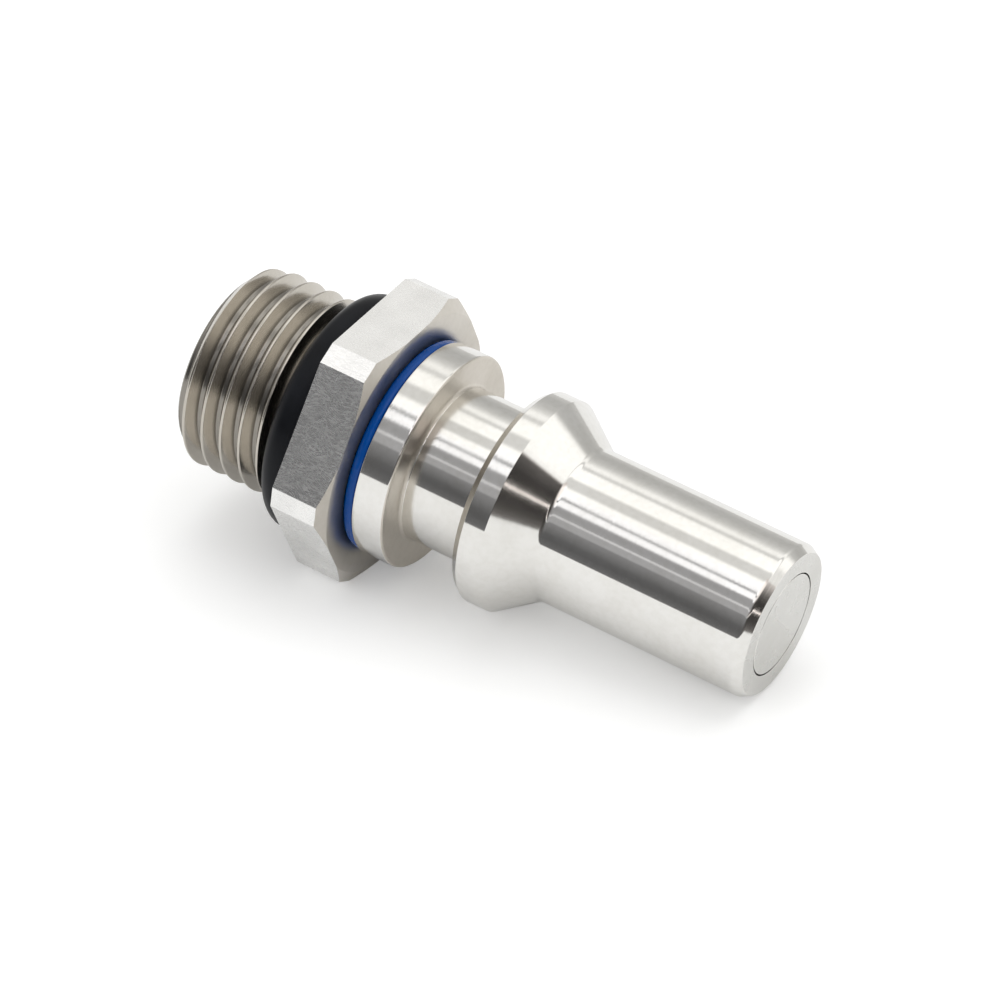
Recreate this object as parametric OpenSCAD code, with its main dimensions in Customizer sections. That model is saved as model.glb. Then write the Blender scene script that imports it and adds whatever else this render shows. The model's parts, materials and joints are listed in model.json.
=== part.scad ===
// Quick disconnect plug with a threaded port end. Millimetres.
// X runs along the axis: 0 is the flat nose face, +X points out of the nose.
// +Z is up and the hexagon has a flat on top and one below.

/* [Nose] */
// Diameter of the nose that slides into the socket
nose_d = 10; // [8:0.1:16]
// Length of the nose from its face to the cone
nose_len = 14.4; // [10:0.1:24]
// Radial size of the chamfer round the nose face
nose_chamfer_r = 0.35; // [0.1:0.05:0.8]
// Axial size of the chamfer round the nose face
nose_chamfer_x = 0.6; // [0.1:0.05:1.2]

/* [Locking ridge and neck] */
// Length of the cone between the nose and the ridge
cone_len = 2.7; // [1:0.1:5]
// Diameter of the ridge that the socket's balls lock behind
ridge_d = 13.9; // [12:0.1:20]
// Width of the ridge's cylindrical band
ridge_len = 1.4; // [0.6:0.1:3]
// Axial size of the bevel on the back of the ridge
ridge_bevel_x = 0.45; // [0.1:0.05:0.8]
// Radial size of the bevel on the back of the ridge
ridge_bevel_r = 0.35; // [0.1:0.05:0.7]
// Diameter of the neck where the balls sit
neck_d = 10.1; // [9.8:0.1:12]
// Length of the neck
neck_len = 4.75; // [3:0.05:8]
// Radius of the fillet between the neck and the collar
neck_fillet = 0.5; // [0.1:0.05:1]

/* [Collar] */
// Diameter of the collar
collar_d = 14.05; // [13.5:0.05:16]
// Width of the collar
collar_len = 2.15; // [1.5:0.05:4]
// Chamfer on the collar's front edge
collar_edge = 0.2; // [0.05:0.05:0.5]

/* [Spigot] */
// Diameter of the spigot that sits in the adapter
spigot_d = 11; // [10.6:0.1:12]
// Depth of the adapter's socket for the spigot
socket_depth = 3.9; // [3:0.1:5]
// Width of the groove for the seal on the spigot
body_groove_w = 1.1; // [1:0.05:1.5]
// Section of the seal on the spigot
body_seal_d = 0.85; // [0.6:0.05:1]

/* [Colour ring] */
// Width of the colour ring between the collar and the hexagon
ring_w = 0.75; // [0.5:0.05:1.5]
// Step from the collar's side down to the colour ring
ring_step = 0.08; // [0.02:0.01:0.3]
// Edge radius of the colour ring
ring_edge = 0.28; // [0.05:0.01:0.3]

/* [Hexagon] */
// Size across the hexagon's flats
hex_af = 17; // [16:0.5:22]
// Depth of the small flats that cut the hexagon's corners
corner_cut = 0.415; // [0.1:0.005:0.8]
// Thickness of the hexagon
hex_len = 3.5; // [2.5:0.1:8]
// Step from the hexagon's flats out to the edge of its front face
face_step = 0.1; // [0.02:0.01:0.3]
// Slope of the front chamfer from the face, in degrees
hex_chamfer_angle = 26; // [15:1:45]

/* [Threaded stud] */
// Outer diameter of the thread
thread_d = 13.157; // [10:0.001:20]
// Pitch of the thread
pitch = 1.337; // [1:0.001:2]
// Depth of the thread
thread_depth = 0.856; // [0.6:0.001:1.2]
// Length of the stud behind the hexagon
stud_len = 9.3; // [8:0.1:14]
// Height of the land for the port seal over the thread's root
land_step = 0.28; // [0.1:0.01:0.5]
// Free width of that land beside the port seal
land_free = 0.2; // [0.1:0.05:1]
// Chamfer at the end of the stud
stud_chamfer = 0.3; // [0.1:0.05:0.5]
// Diameter of the passage through the adapter
passage_d = 8; // [5:0.1:8.8]
// Chamfer at the end of the passage
passage_chamfer = 0.3; // [0.1:0.05:0.5]

/* [Port seal] */
// Width of the port seal along the stud
port_seal_w = 2.15; // [1.5:0.05:2.4]
// Thickness of the port seal, from its inside to its outside
port_seal_t = 1.82; // [1.4:0.02:2.2]

/* [Valve] */
// Diameter of the valve's flat head
head_d = 6.56; // [5:0.02:7]
// Radial gap between the valve's head and the nose bore
head_gap = 0.08; // [0.03:0.01:0.1]
// Length of the valve's head
head_len = 3.4; // [2.6:0.1:5]
// Chamfer round the head's flat face
head_edge = 0.06; // [0.02:0.01:0.2]
// Section of the seal on the valve's head
valve_seal_d = 1; // [0.7:0.05:1.2]
// Distance from the nose face to the middle of that seal
valve_seal_x = 1.7; // [1.2:0.1:2.4]
// Radial gap between the valve's stop flange and the flow chamber
flange_gap = 0.3; // [0.1:0.05:0.4]
// Thickness of the flange
flange_len = 0.9; // [0.6:0.1:1.5]
// Step from the head's side out to the flange's three flow flats
flat_step = 0.12; // [0.05:0.01:0.3]
// Diameter of the valve's stem
stem_d = 2.4; // [1.8:0.1:3]
// Length of the stem behind the guide with the valve closed
stem_tail = 2.6; // [1:0.1:5]
// Width of the shoulder that the flange stops against
shoulder_w = 0.84; // [0.6:0.02:1]

/* [Spring and guide] */
// Wire of the valve spring
wire_d = 0.5; // [0.3:0.05:0.7]
// Radial gap between the stem and the valve spring
spring_gap = 0.65; // [0.3:0.05:1]
// Turns of the valve spring
spring_turns = 10; // [6:1:14]
// Thickness of the guide
guide_len = 2; // [1.2:0.1:3]
// Step from the spring's outside to the guide hub's side
hub_step = 0.15; // [0.05:0.05:0.4]
// Width of the guide's rim
rim_w = 0.6; // [0.4:0.1:0.8]
// Width of the guide's arms
arm_w = 0.9; // [0.6:0.1:1.4]
// Thickness of the retaining ring
clip_t = 0.8; // [0.5:0.05:1]
// Depth of the groove for the retaining ring
clip_groove = 0.5; // [0.3:0.05:0.7]
// Radial width of the retaining ring
clip_w = 1; // [0.8:0.1:1.3]
// Opening of the retaining ring, in degrees
clip_gap = 50; // [30:5:90]

/* [Fits] */
// Radial gap between the stem and the guide
stem_gap = 0.05; // [0.02:0.01:0.1]
// Gap where one piece sits inside another
seat_gap = 0.02; // [0.01:0.01:0.05]

/* [Hidden] */
facets = 96;
steel = [0.78, 0.78, 0.76];
black = [0.08, 0.08, 0.09];
spare = 1;
overlap = 0.1;

nose_r = nose_d / 2;
ridge_r = ridge_d / 2;
neck_r = neck_d / 2;
collar_r = collar_d / 2;
spigot_r = spigot_d / 2;
head_r = head_d / 2;
bore_r = head_r + head_gap;
chamber_r = bore_r + shoulder_w;
flange_r = chamber_r - flange_gap;
stem_r = stem_d / 2;
passage_r = passage_d / 2;
thread_r = thread_d / 2;
root_r = thread_r - thread_depth;
land_r = root_r + land_step;
land_w = port_seal_w + land_free;
spring_r = stem_r + spring_gap + wire_d / 2;
hub_r = spring_r + wire_d / 2 + hub_step;

// Places along the axis, worked out from the nose face backwards
cone_x = -nose_len;
ridge_x = cone_x - cone_len;
ridge_end = ridge_x - ridge_len;
neck_x = ridge_end - ridge_bevel_x;
collar_x = neck_x - neck_len;
collar_end = collar_x - collar_len;
hex_x = collar_end - ring_w;
hex_end = hex_x - hex_len;
thread_x = hex_end - land_w;
stud_end = hex_end - stud_len;
socket_x = hex_x - socket_depth;
spigot_end = socket_x + seat_gap * 5;
body_groove_x = (hex_x + socket_x) / 2 - body_groove_w;
clip_x = collar_x - collar_edge - seat_gap;
guide_end = clip_x + seat_gap;
guide_x = guide_end + guide_len;
flange_x = -head_len - seat_gap;
flange_end = flange_x - flange_len;
spring_len = flange_end - guide_x;

// Turns a profile, drawn as [radius, place along X], about the X axis
module turned() {
  rotate([0, 90, 0]) rotate_extrude($fn = facets) children();
}

// Rectangle of a turned profile
module band(r_in, r_out, from, to) {
  translate([r_in, min(from, to)]) square([r_out - r_in, abs(to - from)]);
}

// Prism along X from a flat shape whose own x points down
module along_x(from, to) {
  translate([from, 0, 0]) rotate([0, 90, 0]) linear_extrude(height = to - from) children();
}

// Seal ring of round section
module o_ring(mid_r, wire_r, x) {
  turned() translate([mid_r, x]) circle(r = wire_r, $fn = 32);
}

// Nose, locking ridge, neck, collar and spigot, turned from one bar
module plug_body() {
  color(steel) turned() difference() {
    polygon(concat(
      [
        [0, 0],
        [nose_r - nose_chamfer_r, 0],
        [nose_r, -nose_chamfer_x],
        [nose_r, cone_x],
        [ridge_r, ridge_x],
        [ridge_r, ridge_end],
        [ridge_r - ridge_bevel_r, neck_x],
        [neck_r, neck_x]
      ],
      [
        for (angle = [0:10:90])
          [
            neck_r + neck_fillet * (1 - cos(angle)),
            collar_x + neck_fillet * (1 - sin(angle))
          ]
      ],
      [
        [collar_r - collar_edge, collar_x],
        [collar_r, collar_x - collar_edge],
        [collar_r, collar_end],
        [spigot_r, collar_end],
        [spigot_r, spigot_end],
        [0, spigot_end]
      ]
    ));
    band(-spare, bore_r, flange_x, spare);
    band(-spare, chamber_r, spigot_end - spare, flange_x);
    band(0, chamber_r + clip_groove, clip_x - clip_t, clip_x);
    band(spigot_r - body_seal_d, spigot_r + spare, body_groove_x, body_groove_x + body_groove_w);
  }
}

// Flats at the top and bottom, with a small flat across each corner
module hex_2d() {
  corners = hex_af / cos(30) - 2 * corner_cut;
  intersection() {
    rotate(30) circle(d = hex_af / cos(30), $fn = 6);
    circle(d = corners / cos(30), $fn = 6);
  }
}

// Hexagon and hollow threaded stud in one piece
module adapter() {
  face_r = hex_af / 2 + face_step;
  chamfer_r = hex_af;
  chamfer_x = hex_x - (chamfer_r - face_r) * tan(hex_chamfer_angle);
  color(steel) difference() {
    union() {
      intersection() {
        along_x(hex_end, hex_x) hex_2d();
        turned() polygon([
          [0, hex_x],
          [face_r, hex_x],
          [chamfer_r, chamfer_x],
          [chamfer_r, min(chamfer_x, hex_end) - spare],
          [0, min(chamfer_x, hex_end) - spare]
        ]);
      }
      turned() stud_2d();
    }
    turned() {
      band(0, spigot_r + seat_gap, socket_x, hex_x + spare);
      band(0, passage_r, stud_end - spare, hex_x);
      polygon([
        [0, stud_end - spare],
        [passage_r + passage_chamfer + spare, stud_end - spare],
        [passage_r, stud_end + passage_chamfer],
        [0, stud_end + passage_chamfer]
      ]);
    }
  }
}

// The thread's crests are rings: same outside size, pitch and depth as the real thread
module stud_2d() {
  crest = pitch / 2 - thread_depth * tan(27.5);
  flank = thread_depth * tan(27.5);
  turns = floor((thread_x - stud_end) / pitch);
  band(0, land_r, thread_x, hex_end + overlap);
  polygon([
    [0, thread_x + overlap],
    [root_r, thread_x + overlap],
    [root_r, stud_end + stud_chamfer],
    [root_r - stud_chamfer, stud_end],
    [0, stud_end]
  ]);
  for (turn = [0:turns - 1]) {
    x = thread_x - (turn + 0.5) * pitch;
    polygon([
      [0, x - crest / 2 - flank],
      [root_r, x - crest / 2 - flank],
      [thread_r, x - crest / 2],
      [thread_r, x + crest / 2],
      [root_r, x + crest / 2 + flank],
      [0, x + crest / 2 + flank]
    ]);
  }
}

// Black ring that seals the hexagon's back face against the port
module port_seal() {
  color(black) turned() translate([land_r + port_seal_t / 2, hex_end - port_seal_w / 2])
    scale([port_seal_t / port_seal_w, 1]) circle(d = port_seal_w, $fn = 48);
}

// Blue ring that shows the circuit's colour
module colour_ring() {
  ring_r = collar_r - ring_step;
  color([0.02, 0.2, 0.65]) turned() {
    band(spigot_r + seat_gap, ring_r - ring_edge, hex_x, collar_end);
    band(spigot_r + seat_gap, ring_r, hex_x + ring_edge, collar_end - ring_edge);
    for (x = [hex_x + ring_edge, collar_end - ring_edge])
      translate([ring_r - ring_edge, x]) circle(r = ring_edge, $fn = 32);
  }
}

module body_seal() {
  wire_r = body_seal_d / 2;
  color(black) o_ring(spigot_r - wire_r, wire_r, body_groove_x + body_groove_w / 2);
}

// Flat head, stop flange with flow flats, and stem
module valve_poppet() {
  seal_groove = valve_seal_d / 2 + seat_gap * 3;
  tail_x = guide_end - stem_tail;
  color(steel) difference() {
    turned() difference() {
      polygon([
        [0, 0],
        [head_r - head_edge, 0],
        [head_r, -head_edge],
        [head_r, flange_x],
        [flange_r, flange_x],
        [flange_r, flange_end],
        [stem_r, flange_end],
        [stem_r, tail_x],
        [0, tail_x]
      ]);
      band(head_r - valve_seal_d, head_r + spare, -valve_seal_x - seal_groove, -valve_seal_x + seal_groove);
    }
    for (angle = [0, 120, 240])
      rotate([angle, 0, 0])
        translate([flange_end - overlap, -flange_r, head_r + flat_step])
          cube([flange_len + 2 * overlap, 2 * flange_r, flange_r]);
  }
}

module valve_seal() {
  wire_r = valve_seal_d / 2;
  color(black) o_ring(head_r - wire_r, wire_r, -valve_seal_x);
}

// Helical wire, swept as rings of points along the coil
module valve_spring() {
  sides = 6;
  steps = spring_turns * 16;
  wire_r = wire_d / 2;
  rise = spring_len - wire_d - 2 * seat_gap;
  lean = atan(rise / (2 * PI * spring_r * spring_turns));
  points = [
    for (i = [0:steps])
      let (
        turn = 360 * spring_turns * i / steps,
        x = guide_x + seat_gap + wire_r + rise * i / steps
      )
      for (j = [0:sides - 1])
        let (
          out = wire_r * cos(360 * j / sides),
          up = wire_r * sin(360 * j / sides),
          r = spring_r + out,
          back = up * sin(lean)
        )
        [
          x + up * cos(lean),
          r * cos(turn) + back * sin(turn),
          r * sin(turn) - back * cos(turn)
        ]
  ];
  walls = [
    for (i = [0:steps - 1])
      for (j = [0:sides - 1])
        let (next = (j + 1) % sides)
        [i * sides + j, i * sides + next, (i + 1) * sides + next, (i + 1) * sides + j]
  ];
  first = [for (j = [0:sides - 1]) sides - 1 - j];
  last = [for (j = [0:sides - 1]) steps * sides + j];
  color(steel) polyhedron(points = points, faces = concat(walls, [first, last]), convexity = 10);
}

// Three-armed guide that carries the stem and the spring, with flow windows
module spring_guide() {
  rim_r = chamber_r - seat_gap;
  color(steel) difference() {
    union() {
      turned() {
        band(0, hub_r, guide_end, guide_x);
        band(rim_r - rim_w, rim_r, guide_end, guide_x);
      }
      for (angle = [60, 180, 300])
        rotate([angle, 0, 0])
          translate([guide_end, -arm_w / 2, stem_r])
            cube([guide_len, arm_w, rim_r - rim_w / 2 - stem_r]);
    }
    turned() band(0, stem_r + stem_gap, guide_end - spare, guide_x + spare);
  }
}

// Open snap ring that holds the guide
module retaining_ring() {
  clip_r = chamber_r + clip_groove - seat_gap;
  side = 2 * clip_r;
  color(steel) difference() {
    turned() band(clip_r - clip_w, clip_r, clip_x - clip_t + seat_gap, clip_x - seat_gap / 2);
    along_x(clip_x - clip_t - spare, clip_x + spare) polygon([
      [0, 0],
      [side * cos(clip_gap / 2), -side * sin(clip_gap / 2)],
      [side * cos(clip_gap / 2), side * sin(clip_gap / 2)]
    ]);
  }
}

plug_body();
adapter();
port_seal();
colour_ring();
body_seal();
valve_poppet();
valve_seal();
valve_spring();
spring_guide();
retaining_ring();
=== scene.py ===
"""Quick disconnect plug: dressed model, studio and camera, in the frame of the CAD model.

Blender works in metres. The sizes of the part are written here in millimetres.
"""

import json
import math

import bmesh
import bpy
from mathutils import Matrix, Vector


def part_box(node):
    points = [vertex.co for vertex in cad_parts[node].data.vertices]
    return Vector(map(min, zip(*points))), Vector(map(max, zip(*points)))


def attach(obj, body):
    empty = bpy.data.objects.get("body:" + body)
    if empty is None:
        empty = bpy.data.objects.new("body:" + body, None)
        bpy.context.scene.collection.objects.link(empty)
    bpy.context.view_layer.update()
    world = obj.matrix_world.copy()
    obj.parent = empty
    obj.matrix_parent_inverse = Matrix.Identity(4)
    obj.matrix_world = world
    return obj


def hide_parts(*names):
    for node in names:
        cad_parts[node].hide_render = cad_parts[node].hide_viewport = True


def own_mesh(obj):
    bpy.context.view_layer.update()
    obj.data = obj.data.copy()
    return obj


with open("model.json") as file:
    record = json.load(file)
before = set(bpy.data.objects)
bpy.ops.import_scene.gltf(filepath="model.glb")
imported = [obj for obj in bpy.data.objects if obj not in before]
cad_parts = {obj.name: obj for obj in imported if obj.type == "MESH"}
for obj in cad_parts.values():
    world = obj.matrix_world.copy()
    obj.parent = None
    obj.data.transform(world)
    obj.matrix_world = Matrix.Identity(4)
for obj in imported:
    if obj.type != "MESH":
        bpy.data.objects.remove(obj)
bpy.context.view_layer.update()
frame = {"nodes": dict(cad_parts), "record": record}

MM = 0.001


# Sizes that the frame holds

def extent(node, axis):
    low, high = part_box(node)
    return low[axis] / MM, high[axis] / MM


def mount(name):
    return next(m for m in frame["record"]["mounts"] if m["name"] == name)


COLLAR_R = extent("plug_body", 1)[1]
SPIGOT_END = extent("plug_body", 0)[0]
HEX_X, COLLAR_END = extent("colour_ring", 0)
RING_R = extent("colour_ring", 1)[1]
HEX_END = extent("port_seal", 0)[1]
SEAL_W = HEX_END - extent("port_seal", 0)[0]
SEAL_R = extent("port_seal", 1)[1]
STUD_END = extent("adapter", 0)[0]
HEX_FLAT = extent("adapter", 2)[1]
HEX_CORNER = extent("adapter", 1)[1]
GUIDE_END, GUIDE_X = extent("spring_guide", 0)
CLIP_END = extent("retaining_ring", 0)[0]
POPPET_END = extent("valve_poppet", 0)[0]
SPRING_END = extent("valve_spring", 0)[1]
SPRING_R = extent("valve_spring", 1)[1]
VALVE_SEAL_BACK, VALVE_SEAL_FRONT = extent("valve_seal", 0)
BODY_SEAL_BACK, BODY_SEAL_FRONT = extent("body_seal", 0)

NOSE_R = mount("nose")["dims"]["r_mm"]
THREAD_R = mount("port_thread")["dims"]["r_mm"]
PASSAGE_R = mount("passage")["dims"]["r_mm"]

# Sizes of the plug body
NOSE_CHAMFER = (0.6, 0.35)
CONE_X = -14.4
RIDGE_X = -17.1
RIDGE_END = -18.5
RIDGE_BEVEL = (0.45, 0.35)
RIDGE_R = 6.95
NECK_R = 5.05
COLLAR_X = -23.7
SPIGOT_R = 5.5
SOCKET_X = -30.5
BODY_GROOVE_W = 1.1
CLIP_GROOVE = 0.5
SEAT_GAP = 0.02

# Sizes of the valve and its spring
HEAD_R = 3.28
HEAD_GAP = 0.08
HEAD_LEN = 3.4
SHOULDER_W = 0.84
SEAL_GROOVE_GAP = 0.06
FLANGE_R = 3.9
FLANGE_LEN = 0.9
FLOW_FLAT = 3.4
STEM_R = 1.2
STEM_CHAMFER = 0.2
WIRE_D = 0.5
SPRING_TURNS = 10

# Sizes of the hexagon and the threaded stud, whose land is the plain part under the port seal
FACE_R = HEX_FLAT + 0.1
HEX_CHAMFER_ANGLE = math.radians(26)
PITCH = 1.337
THREAD_DEPTH = 0.856
THREAD_FLANK = math.radians(27.5)
CREST_HALF = 0.07
CREST_AT_PLUS_Y = -39.06
ROOT_R = THREAD_R - THREAD_DEPTH
LAND_W = 2.35
LAND_H = 0.28
LAND_SLOPE_W = 0.15
LAND_R = ROOT_R + LAND_H
THREAD_X = HEX_END - LAND_W
STUD_CHAMFER = 0.15
PASSAGE_CHAMFER = 0.3
# How fast the thread's outside grows from the stud's end, and falls towards the land
THREAD_LEAD_IN = 1.2
THREAD_RUN_OUT = 1.7

# Edge radii
EDGE = 0.05
SMALL_EDGE = 0.04
BORE_EDGE = 0.02
FACE_EDGE = 0.06
CHAMFER_BLEND = 0.5
CONE_FILLET = 0.6
RIDGE_FOOT = 0.15
NECK_FILLET = 0.25
COLLAR_EDGE = 0.2
SPIGOT_EDGE = 0.1
GROOVE_EDGE = 0.03
GROOVE_ROOT = 0.1
RING_EDGE = 0.3
RING_BORE_EDGE = 0.02
HEX_EDGE = 0.045
CREST_ROUND = 0.1
ROOT_ROUND = 0.13

# Fineness of the meshes, with the distance for welding in metres
COLUMNS = 240
FLANK_STEPS = 4
SEAL_SIDES = 64
WIRE_SIDES = 12
COIL_STEPS = 40
WELD = 1e-8

SIXTH = math.pi / 3
THIRD = 2 * math.pi / 3


# Mesh building

def fillet(corner, before, after, radius, steps=4):
    """Points of an arc that rounds one corner of a profile and takes at most a share of each side."""
    share = 0.45
    nearly_straight = math.radians(88)
    corner, before, after = Vector(corner), Vector(before), Vector(after)
    to_before = (before - corner).normalized()
    to_after = (after - corner).normalized()
    half = to_before.angle(to_after) / 2
    if radius <= 0 or half > nearly_straight:
        return [tuple(corner)]
    reach = min(
        radius / math.tan(half),
        share * (before - corner).length,
        share * (after - corner).length,
    )
    radius = reach * math.tan(half)
    centre = corner + (to_before + to_after).normalized() * (radius / math.sin(half))
    start = corner + to_before * reach - centre
    end = corner + to_after * reach - centre
    turn = math.pi - 2 * half
    if start.x * end.y - start.y * end.x < 0:
        turn = -turn
    points = []
    for step in range(steps + 1):
        spun = Matrix.Rotation(turn * step / steps, 2) @ start
        points.append(tuple(centre + spun))
    return points


def rounded(profile, edge=EDGE):
    """A closed profile of (x, r) or (x, r, fillet radius) with every corner rounded."""
    points = []
    for index, point in enumerate(profile):
        before = profile[index - 1][:2]
        after = profile[(index + 1) % len(profile)][:2]
        radius = point[2] if len(point) > 2 else edge
        steps = 6 if radius > 0.2 else 3
        points += fillet(point[:2], before, after, radius, steps)
    return points


def add_object(name, data):
    thing = bpy.data.objects.new(name, data)
    bpy.context.collection.objects.link(thing)
    return thing


def true_normals(mesh):
    """Shading normals that lean to the largest face, so flats stay true beside small edge radii."""
    normals = [Vector() for _ in mesh.vertices]
    for face in mesh.polygons:
        weight = (face.area / MM ** 2) ** 2
        for index in face.vertices:
            normals[index] += face.normal * weight
    mesh.normals_split_custom_set_from_vertices([normal.normalized() for normal in normals])


def piece_from(name, bm, body, nodes):
    """Smooth piece that rides on a body and replaces nodes of the frame."""
    bmesh.ops.remove_doubles(bm, verts=bm.verts, dist=WELD)
    bmesh.ops.dissolve_degenerate(bm, edges=bm.edges, dist=WELD)
    bmesh.ops.recalc_face_normals(bm, faces=bm.faces)
    mesh = bpy.data.meshes.new(name)
    bm.to_mesh(mesh)
    bm.free()
    mesh.polygons.foreach_set("use_smooth", [True] * len(mesh.polygons))
    true_normals(mesh)
    piece = add_object(name, mesh)
    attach(piece, body)
    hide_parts(*nodes)
    return piece


def ring_point(x, r, angle):
    return (x * MM, r * math.cos(angle) * MM, r * math.sin(angle) * MM)


def wrap(bm, rows, angles, shift=0):
    """Faces round the X axis between rows, which give (x, r) at an angle.

    The last column joins the first with its rows moved on by the shift, as a thread's lead does.
    """
    columns = []
    for angle in angles:
        columns.append([bm.verts.new(ring_point(*row(angle), angle)) for row in rows])
    count = len(rows)
    for index, column in enumerate(columns):
        after = columns[(index + 1) % len(columns)]
        step = shift if index == len(columns) - 1 else 0
        for i in range(count - 1):
            if 0 <= i - step and i + 1 - step < count:
                bm.faces.new((column[i], column[i + 1], after[i + 1 - step], after[i - step]))
    return columns


def at(x, r):
    """Row that keeps its place and radius all the way round."""
    return lambda angle: (x, r)


def even_angles():
    return [2 * math.pi * i / COLUMNS for i in range(COLUMNS)]


def off_middle(angle, middle, sector):
    """Angle from the nearest of the directions that lie a sector apart, one of them the middle."""
    return (angle - middle + sector / 2) % sector - sector / 2


def lathe(name, profile, body, nodes, capped=False):
    """Turned solid from a profile of (x, r) points or rows.

    It is closed round a hole, or capped at both ends.
    """
    bm = bmesh.new()
    rows = [point if callable(point) else at(*point) for point in profile]
    if not capped:
        rows = rows + rows[:1]
    columns = wrap(bm, rows, even_angles())
    if capped:
        bm.faces.new([column[0] for column in columns])
        bm.faces.new([column[-1] for column in reversed(columns)])
    return piece_from(name, bm, body, nodes)


# Pieces

def make_plug_body():
    """Nose, cone, ridge, neck, collar and spigot outside; snap ring groove, chamber and bore inside."""
    chamfer_x, chamfer_r = NOSE_CHAMFER
    bevel_x, bevel_r = RIDGE_BEVEL
    bore_r = HEAD_R + HEAD_GAP
    chamber_r = bore_r + SHOULDER_W
    clip_r = chamber_r + CLIP_GROOVE
    clip_x = GUIDE_END - SEAT_GAP
    clip_end = CLIP_END - SEAT_GAP
    groove_x = (BODY_SEAL_BACK + BODY_SEAL_FRONT + BODY_GROOVE_W) / 2
    groove_end = groove_x - BODY_GROOVE_W
    groove_r = SPIGOT_R - (BODY_SEAL_FRONT - BODY_SEAL_BACK)
    profile = rounded([
        (0, bore_r, BORE_EDGE),
        (0, NOSE_R - chamfer_r, FACE_EDGE),
        (-chamfer_x, NOSE_R, CHAMFER_BLEND),
        (CONE_X, NOSE_R, CONE_FILLET),
        (RIDGE_X, RIDGE_R),
        (RIDGE_END, RIDGE_R, SMALL_EDGE),
        (RIDGE_END - bevel_x, RIDGE_R - bevel_r, SMALL_EDGE),
        (RIDGE_END - bevel_x, NECK_R, RIDGE_FOOT),
        (COLLAR_X, NECK_R, NECK_FILLET),
        (COLLAR_X, COLLAR_R, COLLAR_EDGE),
        (COLLAR_END, COLLAR_R),
        (COLLAR_END, SPIGOT_R),
        (groove_x, SPIGOT_R),
        (groove_x, groove_r),
        (groove_end, groove_r),
        (groove_end, SPIGOT_R),
        (SPIGOT_END, SPIGOT_R, SPIGOT_EDGE),
        (SPIGOT_END, chamber_r, SPIGOT_EDGE),
        (clip_end, chamber_r, 0),
        (clip_end, clip_r, 0),
        (clip_x, clip_r, 0),
        (clip_x, chamber_r, 0),
        (-HEAD_LEN, chamber_r),
        (-HEAD_LEN, bore_r),
    ])
    return lathe("plug_body_turned", profile, "plug", ["plug_body"])


def hex_radius(angle):
    """Distance from the axis to the hexagon's side at an angle: flats at +Z and -Z, cut corners."""
    to_flat = off_middle(angle, math.pi / 2, SIXTH)
    to_corner = off_middle(angle, 0, SIXTH)
    return min(HEX_FLAT / math.cos(to_flat), HEX_CORNER / math.cos(to_corner))


def hex_angles():
    """Even columns, and one at each edge of the hexagon in place of those that crowd it."""
    half_cut = math.atan((HEX_FLAT / HEX_CORNER - math.cos(SIXTH / 2)) / math.sin(SIXTH / 2))
    edges = [(SIXTH * k + side * half_cut) % (2 * math.pi) for k in range(6) for side in (-1, 1)]
    space = math.radians(0.8)

    def crowded(angle):
        return any(abs(off_middle(angle, edge, 2 * math.pi)) < space for edge in edges)

    return sorted([angle for angle in even_angles() if not crowded(angle)] + edges)


def thread_profile():
    """Points of one turn from crest to crest, as (distance along the axis, height above the root)."""
    middle = PITCH / 2
    flank_end = CREST_HALF + THREAD_DEPTH * math.tan(THREAD_FLANK)
    crest_edge, root_edge = (CREST_HALF, THREAD_DEPTH), (flank_end, 0)
    crest_arc = fillet(crest_edge, (-CREST_HALF, THREAD_DEPTH), root_edge, CREST_ROUND)
    root_arc = fillet(root_edge, crest_edge, (middle, 0), ROOT_ROUND)
    top, foot = Vector(crest_arc[-1]), Vector(root_arc[0])
    flank = [tuple(top.lerp(foot, step / FLANK_STEPS)) for step in range(1, FLANK_STEPS)]
    down = [(0, THREAD_DEPTH)] + crest_arc + flank + root_arc
    up = [(PITCH - x, height) for x, height in reversed(down[1:])]
    return down + [(middle, 0)] + up


def helix_row(start, height):
    """Row along the right-hand helix, held between the stud's end and the land."""
    def row(angle):
        x = start + PITCH * angle / (2 * math.pi)
        x = min(max(x, STUD_END), THREAD_X)
        lead_in = ROOT_R - STUD_CHAMFER + (x - STUD_END) * THREAD_LEAD_IN
        run_out = ROOT_R + (THREAD_X - x) * THREAD_RUN_OUT
        return x, min(ROOT_R + height, lead_in, run_out)

    return row


def thread_rows():
    """The thread's rows from the land to the stud's end, and how many of them make one turn."""
    profile = thread_profile()
    turns = math.ceil((THREAD_X - STUD_END) / PITCH) + 1
    spare = 2
    rows = []
    for turn in range(turns, -spare - 1, -1):
        for along, height in reversed(profile):
            rows.append(helix_row(CREST_AT_PLUS_Y + PITCH * turn + along, height))
    return rows, len(profile)


def round_hexagon(bm):
    """Small bevels on the hexagon's own edges."""
    sharp_turn = math.radians(15)
    back = (HEX_END - 0.01) * MM
    inside = (FACE_R - 0.15) * MM

    def on_hexagon(vert):
        return vert.co.x > back and math.hypot(vert.co.y, vert.co.z) > inside

    sharp = [
        edge for edge in bm.edges
        if len(edge.link_faces) == 2
        and all(on_hexagon(vert) for vert in edge.verts)
        and edge.calc_face_angle() > sharp_turn
    ]
    bmesh.ops.bevel(
        bm, geom=sharp, offset=HEX_EDGE * MM, offset_type="OFFSET", segments=2, profile=0.5,
        affect="EDGES", clamp_overlap=True,
    )


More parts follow.
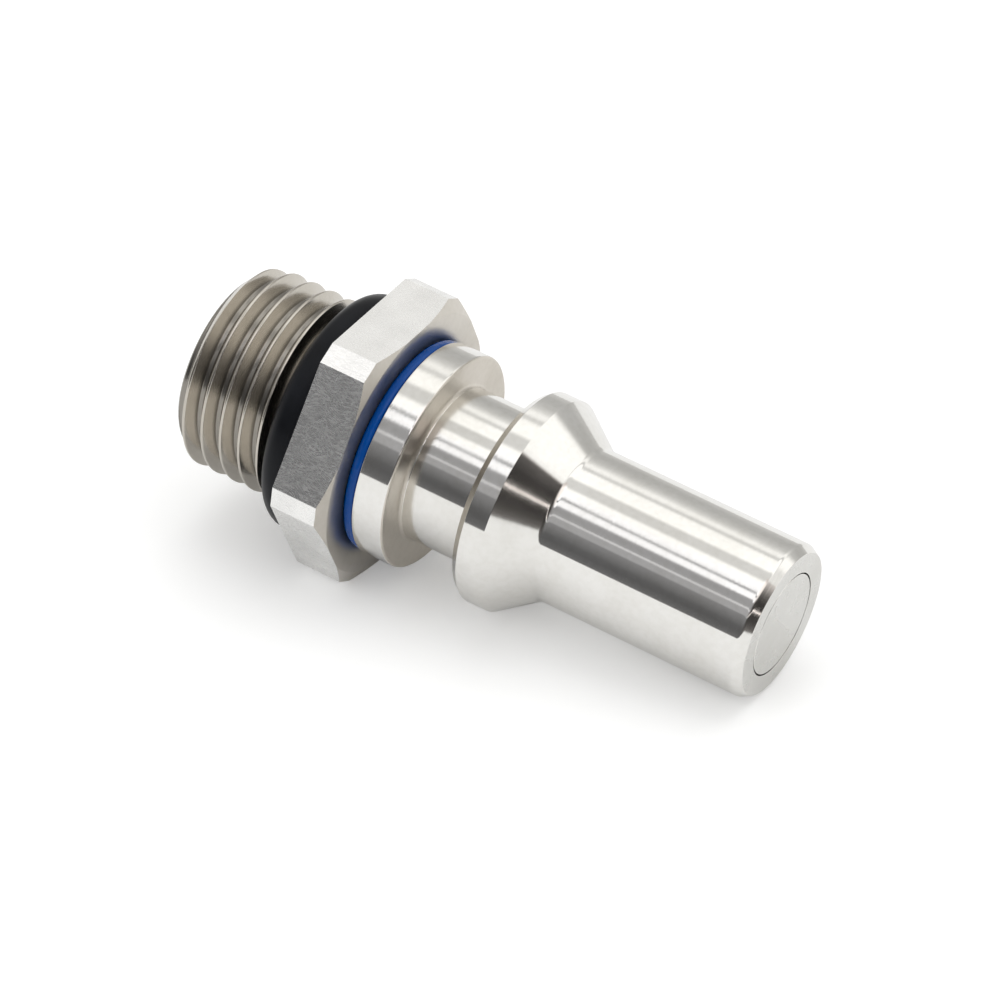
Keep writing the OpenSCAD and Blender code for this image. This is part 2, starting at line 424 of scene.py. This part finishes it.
def make_adapter():
    """Thread, then hexagon and land, then the stud's end, passage and socket, as one closed skin."""
    bm = bmesh.new()
    angles = hex_angles()
    socket_r = SPIGOT_R + SEAT_GAP
    slope = math.tan(HEX_CHAMFER_ANGLE)

    def face_edge(angle):
        return HEX_X, min(FACE_R, hex_radius(angle))

    def front_edge(angle):
        r = hex_radius(angle)
        return HEX_X - max(0, r - FACE_R) * slope, r

    def back_edge(angle):
        return HEX_END, hex_radius(angle)

    helix, per_turn = thread_rows()
    wrap(bm, helix, angles, shift=per_turn)
    wrap(bm, [
        at(SOCKET_X, socket_r),
        at(HEX_X, socket_r),
        face_edge,
        front_edge,
        back_edge,
        at(HEX_END, LAND_R),
        at(THREAD_X + LAND_SLOPE_W, LAND_R),
        at(THREAD_X, ROOT_R),
    ], angles)
    wrap(bm, [
        at(STUD_END, ROOT_R - STUD_CHAMFER),
        at(STUD_END, PASSAGE_R + PASSAGE_CHAMFER),
        at(STUD_END + PASSAGE_CHAMFER, PASSAGE_R),
        at(SOCKET_X, PASSAGE_R),
        at(SOCKET_X, socket_r),
    ], angles)
    bmesh.ops.remove_doubles(bm, verts=bm.verts, dist=WELD)
    bmesh.ops.recalc_face_normals(bm, faces=bm.faces)
    round_hexagon(bm)
    return piece_from("adapter_machined", bm, "plug", ["adapter"])


def make_port_seal():
    """Ring of oval section between the hexagon's back face and the land."""
    half_x, half_r = SEAL_W / 2, (SEAL_R - LAND_R) / 2
    middle_x, middle_r = HEX_END - half_x, SEAL_R - half_r
    profile = []
    for side in range(SEAL_SIDES):
        around = 2 * math.pi * side / SEAL_SIDES
        profile.append((middle_x + half_x * math.cos(around), middle_r + half_r * math.sin(around)))
    return lathe("port_seal_ring", profile, "plug", ["port_seal"])


def make_colour_ring():
    bore_r = SPIGOT_R + SEAT_GAP
    profile = rounded([
        (HEX_X, bore_r),
        (HEX_X, RING_R, RING_EDGE),
        (COLLAR_END, RING_R, RING_EDGE),
        (COLLAR_END, bore_r),
    ], edge=RING_BORE_EDGE)
    return lathe("colour_ring_moulded", profile, "plug", ["colour_ring"])


def make_valve():
    """Head with the seal's groove, stop flange with three flow flats, and stem."""
    flange_x = -HEAD_LEN - SEAT_GAP
    flange_end = flange_x - FLANGE_LEN
    seal_mid = (VALVE_SEAL_BACK + VALVE_SEAL_FRONT) / 2
    seal_half = (VALVE_SEAL_FRONT - VALVE_SEAL_BACK) / 2
    groove_x = seal_mid + seal_half + SEAL_GROOVE_GAP
    groove_end = seal_mid - seal_half - SEAL_GROOVE_GAP
    groove_r = HEAD_R - 2 * seal_half
    # The first and last points only close the profile, so that its other corners can be rounded
    head = rounded([
        (0, 0, 0),
        (0, HEAD_R, EDGE),
        (groove_x, HEAD_R, GROOVE_EDGE),
        (groove_x, groove_r, GROOVE_ROOT),
        (groove_end, groove_r, GROOVE_ROOT),
        (groove_end, HEAD_R, GROOVE_EDGE),
        (flange_x, HEAD_R, 0),
        (flange_x, 0, 0),
    ])[1:-1]

    def flange_r(angle):
        return min(FLANGE_R, FLOW_FLAT / math.cos(off_middle(angle, math.pi / 2, THIRD)))

    profile = head + [
        lambda angle: (flange_x, flange_r(angle)),
        lambda angle: (flange_end, flange_r(angle)),
        (flange_end, STEM_R),
        (POPPET_END + STEM_CHAMFER, STEM_R),
        (POPPET_END, STEM_R - STEM_CHAMFER),
    ]
    return lathe("valve_poppet_turned", profile, "valve", ["valve_poppet"], capped=True)


def make_spring():
    """Helical wire of the valve spring, wound from the spring guide."""
    wire_r = WIRE_D / 2
    coil_r = SPRING_R - wire_r
    start = GUIDE_X + wire_r
    rise = SPRING_END - GUIDE_X - WIRE_D
    steps = SPRING_TURNS * COIL_STEPS
    lean = math.atan2(rise, 2 * math.pi * coil_r * SPRING_TURNS)
    bm = bmesh.new()
    rings = []
    for step in range(steps + 1):
        turn = 2 * math.pi * SPRING_TURNS * step / steps
        x = start + rise * step / steps
        ring = []
        for side in range(WIRE_SIDES):
            around = 2 * math.pi * side / WIRE_SIDES
            out, up = wire_r * math.cos(around), wire_r * math.sin(around)
            r, back = coil_r + out, up * math.sin(lean)
            ring.append(bm.verts.new((
                (x + up * math.cos(lean)) * MM,
                (r * math.cos(turn) + back * math.sin(turn)) * MM,
                (r * math.sin(turn) - back * math.cos(turn)) * MM,
            )))
        rings.append(ring)
    for low, high in zip(rings, rings[1:]):
        for i in range(WIRE_SIDES):
            j = (i + 1) % WIRE_SIDES
            bm.faces.new((low[i], low[j], high[j], high[i]))
    bm.faces.new(rings[0][::-1])
    bm.faces.new(rings[-1])
    piece = piece_from("valve_spring_coil", bm, "plug", ["valve_spring"])
    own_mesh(piece)
    return piece


# Materials: bump depths in metres, noise scales in features per metre

STEEL = (0.86, 0.85, 0.825)
FACED_STEEL = (0.75, 0.745, 0.72)
THREAD_STEEL = (0.62, 0.585, 0.53)
FRONT_STEEL = (0.68, 0.645, 0.59)
# Darker, browner copy of the faced steel for the step before the collar: painted shade of the groove by
# the neck, with a browner finish
STEP_SHADED_STEEL = (0.7, 0.655, 0.59)
SATIN_STEEL = (0.96, 0.955, 0.94)
WIRE_STEEL = (0.6, 0.6, 0.6)
RUBBER = ((0.004, 0.0045, 0.006), (0.008, 0.009, 0.012))
BLUE = ((0.0, 0.06, 0.29), (0.0, 0.07, 0.33))

STAIN = (0.91, 0.905, 0.89)
# Darkening of the thread's roots: partly dirt, partly painted shade of the recess
ROOT_DIRT_AND_SHADE_DEPTH = 0.22
ROOT_DIRT_AND_SHADE_FACTOR = 0.25
ROOT_DIRT_AND_SHADE_R = ROOT_R + 0.25
SCRATCH_ROUGHNESS = 0.13
SCRATCH_TURNS = (
    (0.4, 0.9, 0.3), (0.2, -0.5, 0.8), (1.0, 0.3, -0.6), (0.0, 1.3, 0.2), (0.7, -1.1, -0.3),
)
WOBBLE = 0.0007


class Nodes:
    """Short way to build the node tree of a material or a world."""

    def __init__(self, owner, shader, output):
        owner.use_nodes = True
        self.owner = owner
        self.tree = owner.node_tree
        self.shader = self.tree.nodes[shader]
        self.output = self.tree.nodes[output]

    def add(self, kind, inputs=(), **settings):
        node = self.tree.nodes.new(kind)
        for key, value in settings.items():
            setattr(node, key, value)
        for key, value in dict(inputs).items():
            if isinstance(value, bpy.types.NodeSocket):
                self.tree.links.new(value, node.inputs[key])
            else:
                node.inputs[key].default_value = value
        return node

    def set(self, **values):
        for key, value in values.items():
            self.shader.inputs[key.replace("_", " ")].default_value = value

    def link(self, source, name):
        self.tree.links.new(source, self.shader.inputs[name])

    def show(self, shader):
        self.tree.links.new(shader.outputs[0], self.output.inputs[0])

    def math(self, operation, first, second=0.0):
        return self.add("ShaderNodeMath", {0: first, 1: second}, operation=operation).outputs[0]

    def place(self):
        return self.add("ShaderNodeTexCoord").outputs["Object"]

    def split(self, vector):
        return self.add("ShaderNodeSeparateXYZ", {"Vector": vector}).outputs

    def noise(self, place, scale, detail, stretch=(1, 1, 1), turn=(0, 0, 0)):
        mapping = self.add("ShaderNodeMapping", {"Vector": place, "Rotation": turn, "Scale": stretch})
        inputs = {"Vector": mapping.outputs[0], "Scale": scale, "Detail": detail}
        return self.add("ShaderNodeTexNoise", inputs).outputs[0]

    def ramp(self, value, low, high, to_low=0.0, to_high=1.0, **settings):
        inputs = {"Value": value, "From Min": low, "From Max": high, "To Min": to_low, "To Max": to_high}
        return self.add("ShaderNodeMapRange", inputs, **settings).outputs[0]

    def colours(self, factor, first, second):
        """Mix of two colours, each a socket or (red, green, blue)."""
        first, second = (
            (*colour, 1) if isinstance(colour, tuple) else colour for colour in (first, second)
        )
        return self.add("ShaderNodeMix", {0: factor, 6: first, 7: second}, data_type="RGBA").outputs[2]

    def levels(self, factor, first, second):
        """Mix of two levels, each a socket or a number."""
        return self.add("ShaderNodeMix", {0: factor, 2: first, 3: second}).outputs[0]

    def bump(self, height, distance, **normal):
        inputs = {"Height": height, "Distance": distance, "Strength": 1.0, **normal}
        return self.add("ShaderNodeBump", inputs).outputs[0]


def material_nodes(name):
    return Nodes(bpy.data.materials.new(name), "Principled BSDF", "Material Output")


def turned_steel(name, colour, roughness, groove_depth, anisotropy=0.95, dirt_and_shade_r=0, mottle=0.4):
    """Steel with fine grooves round the X axis, as a lathe leaves, so reflections smear across them.

    Below a radius that the caller gives, as in the roots of a thread, the colour darkens towards the
    axis: partly dirt, partly painted shade of the recess.
    """
    n = material_nodes(name)
    place = n.place()
    x, y, z = n.split(place)
    radius = n.math("SQRT", n.math("ADD", n.math("POWER", y, 2.0), n.math("POWER", z, 2.0)))
    along = n.math("ADD", x, radius)

    def grooves(scale):
        inputs = {"W": along, "Scale": scale, "Detail": 2.0}
        return n.add("ShaderNodeTexNoise", inputs, noise_dimensions="1D").outputs[0]

    cloud = n.noise(place, scale=240, detail=4.0)
    smudge = n.noise(place, scale=900, detail=3.0, stretch=(0.35, 1, 1))
    speckle = n.noise(place, scale=2500, detail=3.0)

    stained = tuple(level * share for level, share in zip(colour, STAIN))
    shade = n.math("ADD", n.ramp(cloud, 0.35, 0.7, 0.0, 0.7), n.ramp(speckle, 0.4, 0.65, 0.0, mottle))
    tone = n.colours(shade, colour, stained)
    # Painted shade with some dirt: the colour darkens with depth into the thread's roots
    if dirt_and_shade_r:
        dirt_and_shade = n.ramp(radius, dirt_and_shade_r * MM, (dirt_and_shade_r - ROOT_DIRT_AND_SHADE_DEPTH) * MM, 0.0, 0.65)
        tone = n.colours(dirt_and_shade, tone, tuple(level * ROOT_DIRT_AND_SHADE_FACTOR for level in colour))
    n.link(tone, "Base Color")

    rough = n.math("ADD", n.ramp(cloud, 0.3, 0.7, -0.15, 0.15), n.ramp(smudge, 0.4, 0.75, 0.97, 1.1))
    n.link(n.math("MULTIPLY", rough, roughness), "Roughness")
    n.set(Metallic=1.0, Anisotropic=anisotropy, Anisotropic_Rotation=0.25)
    tangent = n.add("ShaderNodeTangent", direction_type="RADIAL", axis="X")
    n.link(tangent.outputs[0], "Tangent")
    fine = n.bump(grooves(scale=15000), groove_depth / 3)
    n.link(n.bump(grooves(scale=5000), groove_depth, Normal=fine), "Normal")
    return n.owner


def scratches_along(n, place, turn):
    """Fine lines about 0.5 mm long and 0.05 mm wide that run one way: a noise stretched along it."""
    noise = n.noise(place, scale=1500, detail=0.0, stretch=(1, 12, 12), turn=turn)
    return n.ramp(noise, 0.62, 0.78)


def machined_steel(name, colour, roughness, scratch_depth):
    """Milled and tumbled steel: short fine scratches that cross each other, and a mottled satin."""
    n = material_nodes(name)
    place = n.place()
    cloud = n.noise(place, scale=500, detail=4.0)
    inputs = {"Vector": place, "Scale": 700, "Detail": 0.0}
    wobble = n.add("ShaderNodeTexNoise", inputs).outputs["Color"]
    shift = n.add("ShaderNodeVectorMath", {0: wobble, 3: WOBBLE}, operation="SCALE").outputs[0]
    bent = n.add("ShaderNodeVectorMath", {0: place, 1: shift}, operation="ADD").outputs[0]
    scratches = scratches_along(n, bent, SCRATCH_TURNS[0])
    for turn in SCRATCH_TURNS[1:]:
        scratches = n.math("MAXIMUM", scratches, scratches_along(n, bent, turn))
    dark = tuple(level * 0.9 for level in colour)
    n.link(n.colours(n.ramp(cloud, 0.3, 0.7), colour, dark), "Base Color")
    n.link(n.ramp(scratches, 0.0, 1.0, roughness, roughness + SCRATCH_ROUGHNESS), "Roughness")
    n.set(Metallic=1.0)
    n.link(n.bump(scratches, scratch_depth), "Normal")
    return n.owner


def rubber(name):
    n = material_nodes(name)
    place = n.place()
    cloud = n.noise(place, scale=420, detail=3.0)
    grain = n.noise(place, scale=9000, detail=2.0)
    n.link(n.colours(n.ramp(cloud, 0.3, 0.75), *RUBBER), "Base Color")
    n.link(n.ramp(cloud, 0.3, 0.7, to_low=0.28, to_high=0.4), "Roughness")
    n.set(IOR=1.5, Specular_IOR_Level=0.14)
    n.link(n.bump(grain, distance=3e-6), "Normal")
    return n.owner


def blue_plastic(name):
    n = material_nodes(name)
    place = n.place()
    cloud = n.noise(place, scale=350, detail=2.0)
    grain = n.noise(place, scale=5000, detail=2.0)
    n.link(n.colours(n.ramp(cloud, 0.3, 0.7), *BLUE), "Base Color")
    n.link(n.ramp(grain, 0.3, 0.7, to_low=0.08, to_high=0.14), "Roughness")
    n.set(IOR=1.5, Specular_IOR_Level=0.27)
    n.link(n.bump(grain, distance=3e-7), "Normal")
    return n.owner


def dress(piece, *materials):
    piece.data.materials.clear()
    for material in materials:
        piece.data.materials.append(material)


def sort_turned_faces(piece):
    """Surfaces along the axis keep slot 0, end faces take slot 1, the step before the collar slot 2,
    whose darker steel is painted shade.
    """
    step_reach = 0.3
    step_lean = 0.35
    end_lean = 0.95
    for face in piece.data.polygons:
        at_step = abs(face.center.x / MM - COLLAR_X) < step_reach
        if at_step and face.normal.x > step_lean:
            face.material_index = 2
        elif abs(face.normal.x) > end_lean:
            face.material_index = 1


def sort_adapter_faces(piece):
    """The hexagon's flats keep slot 0, thread and stud take slot 1, its chamfer and front slot 2."""
    behind_hexagon = (HEX_END - 0.005) * MM
    front_lean = 0.3
    for face in piece.data.polygons:
        if face.center.x < behind_hexagon:
            face.material_index = 1
        elif face.normal.x > front_lean:
            face.material_index = 2


# Studio: places in metres, angles in degrees, lens and sensor in millimetres

CAMERA_AT = (0.09679, -0.23568, 0.21328)
CAMERA_TURN = (50.5465, -6.4230, 31.5451)
CAMERA_LENS = 201.9
SENSOR_W = 36
# Where the hexagon's lower edge and the nose touch the floor, as (x, z) in millimetres
FLOOR_TOUCHES = ((-26.6, -8.5), (-0.6, -5.0))
FLOOR_HALF = 3.0
FLOOR_WHITE = (0.9, 0.9, 0.9, 1)
FLOOR_GLOW = 0.2
AMBIENT = 0.78
AMBIENT_COLOUR = (1.0, 1.0, 0.99, 1)
LAMP_AIM = (-0.02, 0, 0)

# The tent's levels of light by height in degrees: its back wall, and its dark opening where the
# camera stands, towards the stud and towards the nose
TENT_R = 2.0
BACK_LEVELS = (
    (-6, 0.75), (0, 0.62), (4, 0.58), (10, 0.51), (19, 0.52), (27, 0.59), (33, 0.7), (38, 0.9),
    (42, 1.14), (46, 1.1), (48, 0.9), (49, 0.72), (52, 0.74), (54, 1.25), (90, 1.3),
)
STUD_SIDE_LEVELS = (
    (-6, 0.2), (0, 0.15), (8, 0.115), (14, 0.13), (19, 0.18), (27, 0.25), (28.6, 0.25), (30, 0.44),
    (37.6, 0.42), (38.4, 0.8), (39.8, 0.8), (40.6, 0.38), (50.6, 0.37), (52, 1.25), (58.6, 1.25),
    (59.1, 0.12), (60.9, 0.12), (61.4, 1.25), (90, 1.3),
)
NOSE_SIDE_LEVELS = (
    (-6, 0.25), (2, 0.2), (8, 0.14), (14, 0.085), (20, 0.055), (28.4, 0.045), (28.7, 3.0), (29.5, 3.0),
    (29.8, 0.045), (38, 0.04), (43, 0.09), (47, 0.16), (54, 0.9), (60, 1.2), (90, 1.3),
)
# Bands of the tent, as middle, half width and softness: by compass direction, by height, and the
# overhead seam by its share of the tent's radius along Y
OPENING_TURN = (18, 76, 3)
PANEL_TURN = (126, 26, 5)
PANEL_RISE = (36, 12, 4)
SEAM_BAND = (0.045, 0.13, 0.05)
SEAM_RISE = (55, 62)
SEAM_SHADE = 0.5
PANEL_LEVEL = 1.25
# Where the opening goes over from its stud side to its nose side
NOSE_SIDE_TURN = (5, 35)
WALL_TINT = (1.0, 0.992, 0.97)
STUD_SIDE_TINT = (0.985, 0.98, 1.0)
NOSE_SIDE_TINT = (1.0, 0.93, 0.89)


def make_floor():
    """White floor under a lower edge of the hexagon and the nose, so it leans a little in this frame."""
    (x0, z0), (x1, z1) = FLOOR_TOUCHES
    mesh = bpy.data.meshes.new("floor")
    corners = [
        (-FLOOR_HALF, -FLOOR_HALF, 0),
        (FLOOR_HALF, -FLOOR_HALF, 0),
        (FLOOR_HALF, FLOOR_HALF, 0),
        (-FLOOR_HALF, FLOOR_HALF, 0),
    ]
    mesh.from_pydata(corners, [], [(0, 1, 2, 3)])
    floor = add_object("floor", mesh)
    tilt = math.atan2(z1 - z0, x1 - x0)
    floor.matrix_world = Matrix.Translation((x0 * MM, 0, z0 * MM)) @ Matrix.Rotation(-tilt, 4, "Y")

    n = material_nodes("floor_white")
    n.set(Base_Color=FLOOR_WHITE, Roughness=0.9, Specular_IOR_Level=0.0)
    path = n.add("ShaderNodeLightPath").outputs
    glow = n.add("ShaderNodeEmission", {"Color": (1, 1, 1, 1), "Strength": FLOOR_GLOW})
    both = n.add("ShaderNodeAddShader", {0: n.shader.outputs[0], 1: glow.outputs[0]})
    shaders = {0: path["Is Camera Ray"], 1: n.shader.outputs[0], 2: both.outputs[0]}
    n.show(n.add("ShaderNodeMixShader", shaders))
    dress(floor, n.owner)


def band(n, value, middle, half, soft):
    """1 within half of the middle and 0 outside, with a soft edge."""
    away = n.math("ABSOLUTE", n.math("SUBTRACT", value, middle))
    return n.ramp(away, half - soft, half + soft, 1.0, 0.0, interpolation_type="SMOOTHSTEP")


def stops(n, degrees, pairs):
    """Level at a height from stops of (degrees, level)."""
    low, high = pairs[0][0], pairs[-1][0]
    ramp = n.add("ShaderNodeValToRGB", {0: n.ramp(degrees, low, high)})
    elements = ramp.color_ramp.elements
    while len(elements) < len(pairs):
        elements.new(0.5)
    for element, (height, level) in zip(elements, pairs):
        element.position = (height - low) / (high - low)
        element.color = (level, level, level, 1)
    return ramp.outputs[0]


def in_degrees(n, angle):
    return n.math("MULTIPLY", angle, 180 / math.pi)


def light_tent():
    """Glow of the tent by direction: white top, grey back wall, bright side panel and dark opening."""
    n = material_nodes("tent_light")
    x, y, z = n.split(n.place())
    rise = in_degrees(n, n.math("ARCSINE", n.math("DIVIDE", z, TENT_R)))
    # 0 looks out of the opening towards the camera's side, 90 towards the nose, 180 at the back wall
    turn = in_degrees(n, n.math("ARCTAN2", x, n.math("MULTIPLY", y, -1.0)))

    to_nose = n.ramp(turn, *NOSE_SIDE_TURN)
    opening = n.levels(to_nose, stops(n, rise, STUD_SIDE_LEVELS), stops(n, rise, NOSE_SIDE_LEVELS))
    in_opening = band(n, turn, *OPENING_TURN)
    level = n.levels(in_opening, stops(n, rise, BACK_LEVELS), opening)
    panel = n.math("MULTIPLY", band(n, turn, *PANEL_TURN), band(n, rise, *PANEL_RISE))
    level = n.levels(panel, level, PANEL_LEVEL)
    overhead = band(n, n.math("DIVIDE", y, TENT_R), *SEAM_BAND)
    seam = n.math("MULTIPLY", overhead, n.ramp(rise, *SEAM_RISE, to_high=SEAM_SHADE))
    level = n.math("SUBTRACT", level, seam)

    opening_tint = n.colours(to_nose, STUD_SIDE_TINT, NOSE_SIDE_TINT)
    tint = n.colours(in_opening, WALL_TINT, opening_tint)
    n.show(n.add("ShaderNodeEmission", {"Color": tint, "Strength": level}))
    return n.owner


def make_tent():
    """Light tent round the plug that only reflections see."""
    bm = bmesh.new()
    bmesh.ops.create_uvsphere(bm, u_segments=64, v_segments=32, radius=TENT_R)
    mesh = bpy.data.meshes.new("light_tent")
    bm.to_mesh(mesh)
    bm.free()
    tent = add_object("light_tent", mesh)
    tent.visible_camera = False
    tent.visible_diffuse = False
    tent.visible_transmission = False
    tent.visible_volume_scatter = False
    tent.visible_shadow = False
    dress(tent, light_tent())


def make_world():
    """White where it is seen or mirrored, and an even ambient light on everything else."""
    world = bpy.data.worlds.new("studio")
    bpy.context.scene.world = world
    n = Nodes(world, "Background", "World Output")
    n.set(Color=(1, 1, 1, 1), Strength=1.0)
    ambient = n.add("ShaderNodeBackground", {"Color": AMBIENT_COLOUR, "Strength": AMBIENT})
    path = n.add("ShaderNodeLightPath").outputs
    seen = n.math("MAXIMUM", path["Is Camera Ray"], path["Is Glossy Ray"])
    seen = n.math("MAXIMUM", seen, path["Is Transmission Ray"])
    n.show(n.add("ShaderNodeMixShader", {0: seen, 1: ambient.outputs[0], 2: n.shader.outputs[0]}))


def make_lamp(name, at_point, side, power):
    """Square soft box that lights the part and isn't mirrored in it."""
    data = bpy.data.lights.new(name, "AREA")
    data.shape = "RECTANGLE"
    data.size = side
    data.size_y = side
    data.energy = power
    lamp = add_object(name, data)
    lamp.location = at_point
    aim = Vector(LAMP_AIM) - Vector(at_point)
    lamp.rotation_euler = aim.to_track_quat("-Z", "Y").to_euler()
    lamp.visible_glossy = False


def make_camera():
    data = bpy.data.cameras.new("camera")
    data.sensor_width = SENSOR_W
    data.sensor_fit = "HORIZONTAL"
    data.lens = CAMERA_LENS
    data.clip_start = 0.01
    camera = add_object("camera", data)
    camera.location = CAMERA_AT
    camera.rotation_euler = [math.radians(angle) for angle in CAMERA_TURN]
    bpy.context.scene.camera = camera


polished = turned_steel("polished_steel", STEEL, roughness=0.095, groove_depth=1.7e-6)
faced = turned_steel(
    "faced_steel", FACED_STEEL, roughness=0.27, groove_depth=1e-7, anisotropy=0.3, mottle=0.1,
)
# The thread's roots are darkened: painted shade of the recess, with some dirt
thread_steel = turned_steel(
    "thread_steel", THREAD_STEEL, roughness=0.2, groove_depth=8e-7, anisotropy=0.3, dirt_and_shade_r=ROOT_DIRT_AND_SHADE_R,
)
front_steel = turned_steel(
    "hexagon_front_steel", FRONT_STEEL, roughness=0.33, groove_depth=2e-7, anisotropy=0.4,
)
# The step before the collar: darker steel as painted shade of the groove, with a browner finish
step_shaded_steel = turned_steel("step_shaded_steel", STEP_SHADED_STEEL, roughness=0.34, groove_depth=3e-7, anisotropy=0.8)
flat_steel = machined_steel("hexagon_steel", SATIN_STEEL, roughness=0.26, scratch_depth=4.5e-7)
wire_steel = turned_steel("wire_steel", WIRE_STEEL, roughness=0.3, groove_depth=1e-6)
black = rubber("black_rubber")
blue = blue_plastic("blue_plastic")

for turned in (make_plug_body(), make_valve()):
    dress(turned, polished, faced, step_shaded_steel)
    sort_turned_faces(turned)
adapter = make_adapter()
dress(adapter, flat_steel, thread_steel, front_steel)
sort_adapter_faces(adapter)
dress(make_port_seal(), black)
dress(make_colour_ring(), blue)
dress(make_spring(), wire_steel)
for node, material in (
    ("body_seal", black),
    ("valve_seal", black),
    ("spring_guide", polished),
    ("retaining_ring", wire_steel),
):
    dress(frame["nodes"][node], material)

make_floor()
make_tent()
make_world()
make_lamp("top_softbox", (-0.05, 0.25, 0.9), side=0.9, power=2.3)
make_lamp("side_softbox", (0.7, -0.2, 0.5), side=0.5, power=0.7)
make_lamp("front_softbox", (-0.35, -0.7, 0.55), side=0.6, power=1.3)
make_camera()

scene = bpy.context.scene
scene.view_settings.view_transform = "Standard"
